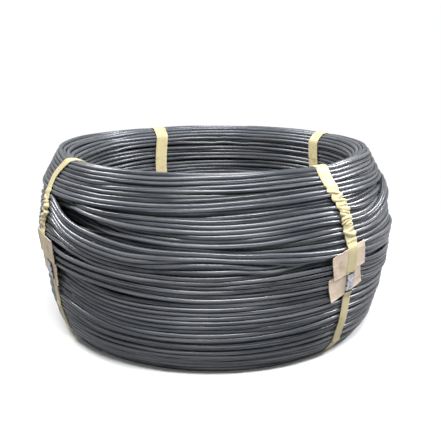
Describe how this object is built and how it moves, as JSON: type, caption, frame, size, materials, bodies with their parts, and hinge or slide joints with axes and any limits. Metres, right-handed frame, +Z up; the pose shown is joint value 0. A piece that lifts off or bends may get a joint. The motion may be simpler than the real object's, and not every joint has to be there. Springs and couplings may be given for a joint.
{
  "type": "coil of wire rod",
  "caption": "Heavy coil of drawn steel wire rod lying on its end, open bore, bound by sleeved steel straps with crimped seals over cardboard pads.",
  "frame": {"origin": "on the bore's axis, at the level of the floor that the coil lies on", "axes": "+Z up along the bore's axis, -Y towards the viewer of the pictured side"},
  "size_m": [0.9499, 0.95, 0.468],
  "materials": {
    "wire_steel": "dark drawn steel with a dull sheen",
    "strap_steel": "black lacquered strapping",
    "seal_steel": "bare pressed steel",
    "sleeve_plastic": "soft cream tube, creased",
    "pad_card": "raw brown card"
  },
  "bodies": {
    "root": {"wire_coil": "wire_steel", "front_strap": "strap_steel", "front_seal": "seal_steel", "front_wide_sleeve": "sleeve_plastic", "front_narrow_sleeve": "sleeve_plastic", "front_upper_pad": "pad_card", "front_lower_pad": "pad_card", "left_strap": "strap_steel", "left_seal": "seal_steel", "left_wide_sleeve": "sleeve_plastic", "left_narrow_sleeve": "sleeve_plastic", "left_upper_pad": "pad_card", "left_lower_pad": "pad_card", "right_strap": "strap_steel", "right_seal": "seal_steel", "right_wide_sleeve": "sleeve_plastic", "right_narrow_sleeve": "sleeve_plastic", "right_upper_pad": "pad_card", "right_lower_pad": "pad_card", "back_strap": "strap_steel", "back_seal": "seal_steel", "back_wide_sleeve": "sleeve_plastic", "back_narrow_sleeve": "sleeve_plastic", "back_upper_pad": "pad_card", "back_lower_pad": "pad_card"}
  },
  "joints": []
}
